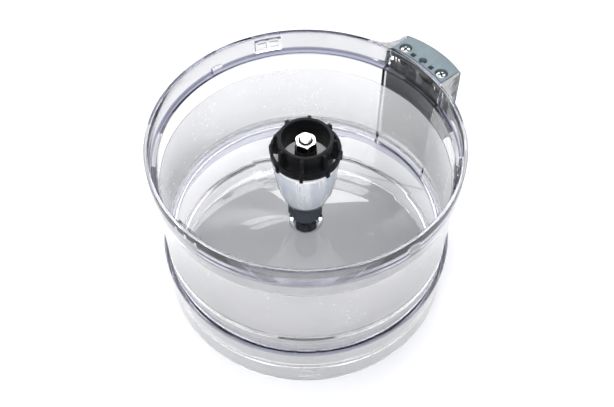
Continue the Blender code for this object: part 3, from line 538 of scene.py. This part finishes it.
def worked_metal(name, colour, rough, x=0.0, y=0.0):
    """Metal with fine round tool marks about an upright axis."""
    made = bpy.data.materials.new(name)
    made.use_nodes = True
    tree = made.node_tree
    shader = tree.nodes["Principled BSDF"]
    shader.inputs["Metallic"].default_value = 1.0
    spot = place_of(tree, x, y)
    marks = node(tree, "TexWave", wave_type="RINGS", rings_direction="Z")
    marks.inputs["Scale"].default_value = 1400.0
    marks.inputs["Distortion"].default_value = 2.0
    marks.inputs["Detail"].default_value = 2.0
    tree.links.new(spot, marks.inputs["Vector"])
    ramp = node(tree, "ValToRGB")
    ramp.color_ramp.elements[0].color = (*[c * 0.82 for c in colour], 1)
    ramp.color_ramp.elements[1].color = (*colour, 1)
    tree.links.new(noise(tree, spot, 240.0, 5.0, 0.6), ramp.inputs["Fac"])
    tree.links.new(ramp.outputs["Color"], shader.inputs["Base Color"])
    tree.links.new(between(tree, marks.outputs["Fac"], 0.0, 1.0, rough - 0.05, rough + 0.07),
                   shader.inputs["Roughness"])
    bumps(tree, marks.outputs["Fac"], 0.00001, shader)
    return made


def paint_node(name, paint):
    """A CAD piece that stays as it is, with a worked finish."""
    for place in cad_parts[name].material_slots:
        place.material = paint


bronze = worked_metal("sintered_bronze", (0.52, 0.33, 0.17), 0.42, x=axis_x)
rubber = moulded("seal_rubber", (0.030, 0.030, 0.031), (0.020, 0.020, 0.021), 0.74, 0.00002, 900.0)
steel = worked_metal("turned_steel", (0.74, 0.74, 0.73), 0.24, x=axis_x)
for name in ("upper_bush", "lower_bush", "thrust_washer"):
    paint_node(name, bronze)
for name in ("lip_seal", "post_gasket"):
    paint_node(name, rubber)
for name in ("retaining_ring", "coupling_pin"):
    paint_node(name, steel)


# ---------------------------------------------------------------- centre post
# A hollow funnel in milky nylon that stands on the boss and carries the top bush. It lets
# light through, and flow lines from moulding run down its sides.
post_low, post_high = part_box("centre_post")
tall = post_high.z - post_low.z
shares = ((0.0, 0.0), (0.035, 0.16), (0.12, 0.30), (0.30, 0.60), (0.48, 0.77), (0.64, 0.88),
          (0.80, 0.96), (0.90, 1.0), (0.975, 0.97), (1.0, 0.86))
outside = [(0.0129 + 0.0101 * out, post_low.z + tall * up) for up, out in shares]
deck_under = post_high.z - 0.0022
inside_wall = [(r - 0.002, z) for r, z in outside[:8]] + [(0.0207, deck_under)]
tube_low = post_high.z - tall / 2
post = spin_section("centre_post", outside[::-1] + inside_wall + [
    (0.0090, deck_under), (0.0090, tube_low), (0.0052, tube_low), (0.0052, tube_low + 0.002),
    (0.0070, tube_low + 0.002), (0.0070, post_high.z),
], 128)
milky = bpy.data.materials.new("milky_nylon")
milky.use_nodes = True
tree = milky.node_tree
nylon = tree.nodes["Principled BSDF"]
nylon.inputs["IOR"].default_value = 1.5
spot = place_of(tree, x=axis_x)
stretch = node(tree, "Mapping")
stretch.inputs["Scale"].default_value = (1.0, 1.0, 0.06)
tree.links.new(spot, stretch.inputs["Vector"])
streak = noise(tree, stretch.outputs["Vector"], 190.0, 3.0)
ramp = node(tree, "ValToRGB")
ramp.color_ramp.elements[0].position, ramp.color_ramp.elements[1].position = 0.38, 0.62
ramp.color_ramp.elements[0].color = (0.72, 0.77, 0.86, 1)
ramp.color_ramp.elements[1].color = (0.93, 0.95, 0.98, 1)
tree.links.new(streak, ramp.inputs["Fac"])
tree.links.new(ramp.outputs["Color"], nylon.inputs["Base Color"])


def stain(material, share, colour):
    """A second colour over the first, where the share is one."""
    tree = material.node_tree
    shader = tree.nodes["Principled BSDF"]
    first = shader.inputs["Base Color"].links[0].from_socket
    tree.links.new(tint(tree, share, first, colour), shader.inputs["Base Color"])


height = round_place(tree)[1]
foot_dark = between(tree, height, 0.0858, 0.0864, 1.0, 0.0)
# Painted light on pale nylon: the deck under the collar is painted near white, paler than the nylon below,
# so it stays bright in the collar's shade.
deck_painted_light = between(tree, height, post_high.z - 0.0006, post_high.z - 0.0002, 0.0, 1.0)
stain(milky, deck_painted_light, (0.98, 0.98, 0.98))
stain(milky, foot_dark, carrier_dark)
clear_part = between(tree, height, post_high.z - 0.0006, post_high.z - 0.0002, 0.35, 0.0)
tree.links.new(calc(tree, "MULTIPLY", clear_part, calc(tree, "SUBTRACT", 1.0, foot_dark)),
               nylon.inputs["Transmission Weight"])
tree.links.new(between(tree, streak, 0.3, 0.7, 0.16, 0.34), nylon.inputs["Roughness"])
bumps(tree, streak, 0.0001, nylon)
set_piece(post, "bowl", "milky_plastic", milky, "centre_post")


# ---------------------------------------------------------------- finned collar
# A black ring clipped on to the deck, with eight fins and a hoop that key it to the work
# tools. Ring, fins and hoop are one glass-filled moulding with eased edges.
collar_low, collar_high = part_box("finned_collar")
deck = collar_low.z - 0.0003
collar = spin_section("finned_collar", ease([
    (0.01895, collar_high.z), (0.01895, collar_low.z), (0.0162, collar_low.z), (0.0162, collar_high.z),
], 0.0007), 120)
fuse(collar, spin_section("hoop", ease([
    (0.0243, deck + 0.0107), (0.0243, deck + 0.0047), (0.0224, deck + 0.0047), (0.0224, deck + 0.0107),
], 0.0004), 120))
fin_side = ease([
    (0.0183, collar_high.z - 0.0003), (0.0211, collar_high.z - 0.0003), (0.0217, collar_high.z - 0.0012),
    (0.0224, deck + 0.0113), (0.0251, deck + 0.0095), (0.0251, deck + 0.0028),
    (0.0245, deck + 0.0022), (0.0221, deck + 0.0022), (0.0183, deck + 0.0028),
], 0.0004)
for i in range(8):
    fin = draw_line("fin", [(axis_x + r, -0.0012, z) for r, z in fin_side + fin_side[:1]])
    bpy.ops.mesh.edge_face_add()
    bpy.ops.mesh.extrude_region_move(TRANSFORM_OT_translate={"value": (0, 0.0024, 0)})
    close_shape(fin)
    round_off(fin, 0.00025)
    bpy.ops.object.mode_set(mode="EDIT")
    bpy.ops.mesh.select_all(action="SELECT")
    bpy.ops.transform.rotate(
        value=-math.radians(-3.1 + 45 * i), orient_axis="Z", center_override=(axis_x, 0, 0)
    )
    bpy.ops.object.mode_set(mode="OBJECT")
    fuse(collar, fin)
black = moulded("black_moulding", (0.0030, 0.0034, 0.0045), (0.002, 0.0023, 0.003), 0.48)
black.node_tree.nodes["Principled BSDF"].inputs["Specular IOR Level"].default_value = 0.16
set_piece(collar, "bowl", "black_plastic", black, "finned_collar")


# ---------------------------------------------------------------- drive shaft and coupling
# A turned steel shaft with a reduced tip, and the splined dark coupling pinned to its lower
# end, which drops on to the motor's drive. They turn together with the hub above.
hub_low, hub_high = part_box("drive_hub")
ring_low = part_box("retaining_ring")[0].z
coupling_low, coupling_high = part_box("drive_coupling")
shaft = spin_section("drive_shaft", [
    (0, shaft_high.z), (0.0027, shaft_high.z), (0.0034, shaft_high.z - 0.0001),
    (0.004, shaft_high.z - 0.0007),
    (0.004, ring_low + 0.0013), (0.0034, ring_low + 0.0013), (0.0034, ring_low - 0.0002),
    (0.004, ring_low - 0.0002), (0.004, coupling_low.z + 0.004), (0.0019, coupling_low.z + 0.002),
    (0.0019, shaft_low.z + 0.0006), (0.0013, shaft_low.z), (0, shaft_low.z),
], 64, solid=True)
cut_away(shaft, spin_section("centre_drill", [
    (0, shaft_high.z - 0.0011), (0.0012, shaft_high.z + 0.0002), (0, shaft_high.z + 0.0002),
], 32, solid=True))
set_piece(shaft, "spindle", "steel", steel, "drive_shaft")

coupling = spin_section("drive_coupling", ease([
    (0.0078, coupling_high.z), (0.0078, coupling_low.z + 0.004), (0.0038, coupling_low.z),
    (0.0022, coupling_low.z), (0.0022, coupling_low.z + 0.0014), (0.0043, coupling_low.z + 0.0037),
    (0.0043, coupling_high.z),
], 0.0003), 96)
for i in range(6):
    turn = math.radians(60 * i)
    cut_away(coupling, spin_section("spline_groove", [
        (0, coupling_low.z - 0.001), (0.0018, coupling_low.z - 0.001), (0.0018, coupling_low.z + 0.0160),
        (0, coupling_low.z + 0.0165),
    ], 24, 0.0084 * math.cos(turn), 0.0084 * math.sin(turn), True))
pin_height = coupling_high.z - (coupling_high.z - coupling_low.z) / 4
pin_reach = 0.0094
pin_hole = spin_section("pin_hole", [
    (0, pin_height - pin_reach), (0.0015, pin_height - pin_reach),
    (0.0015, pin_height + pin_reach), (0, pin_height + pin_reach),
], 24, solid=True)
bpy.ops.object.mode_set(mode="EDIT")
bpy.ops.mesh.select_all(action="SELECT")
bpy.ops.transform.rotate(value=math.radians(90), orient_axis="Y", center_override=(axis_x, 0, pin_height))
bpy.ops.transform.rotate(value=-math.radians(30), orient_axis="Z", center_override=(axis_x, 0, pin_height))
bpy.ops.object.mode_set(mode="OBJECT")
cut_away(coupling, pin_hole)
set_piece(coupling, "spindle", "dark_grey_plastic", dark_grey, "drive_coupling")


# ---------------------------------------------------------------- hub, washer and nut
# On top of the shaft a small black splined hub, a plain washer and a bright hexagon nut,
# chamfered on its upper corners, done up tight on the shaft's end.
radii = [0.0077, 0.0077, 0.0071, 0.0071] * 12
outline = [(r * math.cos(math.radians(7.5 * i)), r * math.sin(math.radians(7.5 * i)))
           for i, r in enumerate(radii)]
hub = raise_plan("drive_hub", outline, hub_low.z, hub_high.z)
round_off(hub, 0.0002)
bore = [(0, hub_low.z - 0.001), (0.0043, hub_low.z - 0.001),
        (0.0043, hub_high.z + 0.001), (0, hub_high.z + 0.001)]
cut_away(hub, spin_section("hub_bore", bore, 48, solid=True))
set_piece(hub, "spindle", "black_plastic", black, "drive_hub")

washer_low, washer_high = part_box("nut_washer")
washer = spin_section("nut_washer", ease([
    (0.0074, washer_high.z), (0.0074, washer_low.z), (0.0043, washer_low.z), (0.0043, washer_high.z),
], 0.0003), 72)
blackened = worked_metal("blackened_steel", (0.035, 0.035, 0.038), 0.4, x=axis_x)
set_piece(washer, "spindle", "steel", blackened, "nut_washer")

nut_low, nut_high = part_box("shaft_nut")
corner = 0.0065 / math.cos(math.pi / 6)
hexagon = [(corner * math.cos(math.radians(60 * i - 3.1)), corner * math.sin(math.radians(60 * i - 3.1)))
           for i in range(6)]
nut = raise_plan("shaft_nut", hexagon, nut_low.z, nut_high.z)
cut_away(nut, spin_section("nut_chamfer", [
    (corner + 0.0006, nut_high.z + 0.0006), (corner + 0.0006, nut_high.z - 0.0016),
    (corner - 0.0011, nut_high.z + 0.0006),
], 96))
cut_away(nut, spin_section("nut_thread", [
    (0, nut_low.z - 0.001), (0.0043, nut_low.z - 0.001), (0.0043, nut_high.z - 0.0004),
    (0.0049, nut_high.z + 0.0002), (0, nut_high.z + 0.0002),
], 48, solid=True))
bright = worked_metal("bright_zinc_plate", (0.72, 0.72, 0.69), 0.22, x=axis_x)
tree = bright.node_tree
radius, height = round_place(tree, x=axis_x)[:2]
# Painted shade and dark reflection: the nut's sides below the chamfer are painted near black, and so is a
# ring round its thread, painted shade in the hole.
off_thread = calc(tree, "ABSOLUTE", calc(tree, "SUBTRACT", radius, 0.0045))
painted_thread_shade = between(tree, off_thread, 0.0004, 0.0006, 1.0, 0.0)
painted_side_shade = between(tree, height, nut_high.z - 0.0009, nut_high.z - 0.0006, 1.0, 0.0)
stain(bright, calc(tree, "MAXIMUM", painted_thread_shade, painted_side_shade), (0.020, 0.020, 0.022))
set_piece(nut, "spindle", "bright_nut", bright, "shaft_nut", sharp=20)


# ---------------------------------------------------------------- handle shell
# A slate grey U-shaped shell that fits between the bowl's cheeks, open towards the bowl,
# with screw bosses under its top. A dark liner closes it against the wall.
def outer_face(inset, half):
    """The handle's bowed outer face at an inset, from its right side to its left."""
    bow = (0.0266**2 + 0.0047**2) / (2 * 0.0047)
    reach = math.degrees(math.asin(half / (bow - inset)))
    return round_arc(bow - inset, -reach, reach, 24, x=0.1272 - bow)


grip_low, grip_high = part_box("handle_grip")
side, lip, inner = 0.0246, 0.1210, 0.0224
shell = [(0.1052, -side), (lip, -side), (lip, -0.0266)] + outer_face(0, 0.0266)
shell += [(lip, 0.0266), (lip, side), (0.1052, side), (0.1052, inner)]
shell += outer_face(0.0026, inner)[::-1] + [(0.1052, -inner)]
grip = raise_plan("handle_grip", shell, grip_low.z, 0.1352)
top = [(lip, -side), (lip, -0.0266)] + outer_face(0, 0.0266) + [(lip, 0.0266), (lip, side)]
fuse(grip, raise_plan("grip_top", top, 0.1346, grip_high.z))
round_off(grip, 0.0005, 3)
for sign in (-1, 1):
    y = sign * screw_y
    boss = spin_section("screw_boss", ease([
        (0.0042, 0.1349), (0.0042, 0.1132), (0.0022, 0.1132), (0.0022, 0.1349),
    ], 0.0003), 48, screw_x, y)
    web = raise_plan("screw_web", [(0.1097, sign * 0.0208), (0.1135, sign * 0.0208),
                                   (0.1135, sign * 0.0230), (0.1097, sign * 0.0230)], 0.1135, 0.1346)
    fuse(grip, boss, web)
    cut_away(grip, spin_section("pilot", [
        (0, 0.1126), (0.0022, 0.1126), (0.0022, 0.1356), (0, 0.1356),
    ], 32, screw_x, y, True))
slate = moulded("slate_moulding", (0.120, 0.164, 0.186), (0.100, 0.140, 0.160), 0.46)
dark_side = moulded("dark_slate_moulding", (0.066, 0.074, 0.090), (0.052, 0.060, 0.074), 0.46)
set_piece(grip, "bowl", "slate_plastic", slate, "handle_grip")

back_low, back_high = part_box("handle_back")
half = math.degrees(math.asin(0.0243 / 0.1061))
liner = raise_plan(
    "handle_back", ease(round_arc(0.1041, half, -half, 24) + round_arc(0.1061, -half, half, 24), 0.0003),
    back_low.z, back_high.z,
)
set_piece(liner, "bowl", "dark_slate_plastic", dark_side, "handle_back")

foot_low, foot_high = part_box("handle_foot")
plug = 0.0221
turn = math.degrees(math.asin(plug / 0.1041))
foot = raise_plan(
    "handle_foot", round_arc(0.1041, turn, -turn, 24) + outer_face(0.0029, plug),
    foot_low.z, foot_low.z + 0.004,
)
round_off(foot, 0.0004)
fuse(foot, spin_section("foot_boss", ease([
    (0.0052, foot_high.z), (0.0052, foot_low.z + 0.0006),
    (0.0026, foot_low.z + 0.0006), (0.0026, foot_high.z),
], 0.0004), 48, screw_x))
cut_away(foot, spin_section("foot_hole", [
    (0, foot_low.z - 0.001), (0.0026, foot_low.z - 0.001),
    (0.0026, foot_high.z + 0.001), (0, foot_high.z + 0.001),
], 32, rod_x, 0, True))
set_piece(foot, "bowl", "slate_plastic", slate, "handle_foot")


# ---------------------------------------------------------------- handle cap
# The slate cap that shows on top of the handle: two screw recesses, two square sockets for
# the lid's locking fingers and a hole for the interlock rod between them.
cap_low, cap_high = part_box("handle_cap")
reach = math.degrees(math.asin(side / 0.1073))
plan = round_arc(0.1073, reach, -reach, 24) + [(lip, -side), (lip, -0.0266)]
plan += outer_face(0, 0.0266) + [(lip, 0.0266), (lip, side)]
cap = raise_plan("handle_cap", plan, cap_low.z, cap_high.z)
round_off(cap, 0.0006, 3)
for y in (-screw_y, screw_y):
    cut_away(cap, spin_section("recess", [
        (0, 0.1418), (0.0046, 0.1418), (0.0046, cap_high.z - 0.0003), (0.0051, cap_high.z + 0.0004),
        (0, cap_high.z + 0.0004),
    ], 64, screw_x, y, True))
    cut_away(cap, spin_section("hole", [
        (0, 0.1385), (0.0022, 0.1385), (0.0022, 0.1420), (0, 0.1420),
    ], 32, screw_x, y, True))
for y in (-0.0087, 0.0087):
    square = [(0.1083, y - 0.0019), (0.1121, y - 0.0019), (0.1121, y + 0.0019), (0.1083, y + 0.0019)]
    cut_away(cap, raise_plan("socket", ease(square, 0.0005), 0.1385, cap_high.z + 0.001))
cut_away(cap, spin_section("rod_hole", [
    (0, 0.1385), (0.003, 0.1385), (0.003, cap_high.z - 0.0003), (0.0034, cap_high.z + 0.0002),
    (0, cap_high.z + 0.0002),
], 48, rod_x, 0, True))
# Just below its top edge the cap's outer side is painted nearly black: painted shade on the side, away
# from the light. The top stays slate.
cap_slate = moulded("cap_slate_with_painted_shade", (0.120, 0.164, 0.186), (0.100, 0.140, 0.160), 0.46)
tree = cap_slate.node_tree
radius, height, forward = round_place(tree)
outer_part = calc(tree, "MULTIPLY", between(tree, radius, 0.1076, 0.1078, 0.0, 1.0),
                between(tree, forward, 0.1168, 0.1170, 1.0, 0.0))
deep = between(tree, height, cap_high.z - 0.0005, cap_high.z - 0.0003, 1.0, 0.0)
stain(cap_slate, calc(tree, "MULTIPLY", outer_part, deep), (0.004, 0.005, 0.006))
set_piece(cap, "bowl", "slate_plastic", cap_slate, "handle_cap")


# ---------------------------------------------------------------- screws
# Two plated pan-head screws with a cross recess hold the cap and shell to the shelf. One is
# modelled and the other is a copy of it.
head_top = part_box("handle_screw_left")[1].z
screw = spin_section("handle_screw_left", [
    (0, head_top), (0.0022, head_top - 0.00015), (0.0033, head_top - 0.0005), (0.0038, head_top - 0.0010),
    (0.0040, head_top - 0.0016), (0.0040, head_top - 0.0021), (0.0039, head_top - 0.0022),
    (0.0019, head_top - 0.0022), (0.0019, head_top - 0.0223), (0, head_top - 0.0242),
], 64, screw_x, screw_y, True)
for along, across in ((0.0027, 0.0007), (0.0007, 0.0027)):
    slot_plan = [(screw_x - along, screw_y - across), (screw_x + along, screw_y - across),
                 (screw_x + along, screw_y + across), (screw_x - along, screw_y + across)]
    cut_away(screw, raise_plan("cross", slot_plan, head_top - 0.0013, head_top + 0.001))
plated = worked_metal("plated_screw", (0.66, 0.67, 0.68), 0.25, x=axis_x + screw_x, y=screw_y)
bpy.ops.object.select_all(action="DESELECT")
screw.select_set(True)
bpy.context.view_layer.objects.active = screw
bpy.ops.object.duplicate()
other = bpy.context.object
other.name = other.data.name = "handle_screw_right"
bpy.ops.object.mode_set(mode="EDIT")
bpy.ops.mesh.select_all(action="SELECT")
bpy.ops.transform.translate(value=(0, -0.0352, 0))
other_axis = (axis_x + screw_x, -screw_y, 0)
bpy.ops.transform.rotate(value=math.radians(28), orient_axis="Z", center_override=other_axis)
bpy.ops.object.mode_set(mode="OBJECT")
tree = plated.node_tree
radius, height = round_place(tree, x=axis_x + screw_x, y=screw_y)[:2]
# Painted shade: the cross recess in each screw head is painted near black.
cross = calc(tree, "MULTIPLY", between(tree, radius, 0.0029, 0.0031, 1.0, 0.0),
             between(tree, height, head_top - 0.0006, head_top - 0.0004, 1.0, 0.0))
stain(plated, cross, (0.006, 0.006, 0.007))
set_piece(screw, "bowl", "steel", plated, "handle_screw_left")
set_piece(other, "bowl", "steel", plated, "handle_screw_right")


# ---------------------------------------------------------------- interlock rod
# A light grey plastic rod that the lid pushes down through the handle. A clip and a steel
# spring inside the shell bring it back up.
rod_low, rod_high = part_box("interlock_rod")
clip_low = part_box("rod_clip")[0].z
rod = spin_section("interlock_rod", [
    (0, rod_high.z), (0.0017, rod_high.z), (0.0021, rod_high.z - 0.0002), (0.0023, rod_high.z - 0.0006),
    (0.0023, clip_low + 0.0013), (0.0017, clip_low + 0.0013), (0.0017, clip_low - 0.0003),
    (0.0023, clip_low - 0.0003), (0.0023, rod_low.z + 0.0005), (0.0018, rod_low.z), (0, rod_low.z),
], 48, rod_x, 0, True)
light_grey = moulded("light_grey_moulding", (0.52, 0.55, 0.57), (0.45, 0.48, 0.50), 0.4)
set_piece(rod, "interlock", "light_grey_plastic", light_grey, "interlock_rod")
spring_steel = worked_metal("spring_steel", (0.66, 0.66, 0.66), 0.3, x=axis_x + rod_x)
paint_node("rod_clip", spring_steel)
# In the handle the spring's top follows the clip and its foot stays put, so it closes up between. Here it
# is a still copy of the CAD spring's mesh with its doubled points merged.
spring = bpy.data.objects.new("return_spring", bpy.data.objects["interlock_spring"].data.copy())
bpy.context.scene.collection.objects.link(spring)
bpy.ops.object.select_all(action="DESELECT")
spring.select_set(True)
bpy.context.view_layer.objects.active = spring
bpy.ops.object.mode_set(mode="EDIT")
bpy.ops.mesh.select_all(action="SELECT")
bpy.ops.mesh.remove_doubles(threshold=0.000001)
bpy.ops.object.mode_set(mode="OBJECT")
bpy.ops.object.shade_smooth_by_angle(angle=math.radians(35))
spring.data.materials.clear()
spring.data.materials.append(spring_steel)
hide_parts("interlock_spring")
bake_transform(spring)
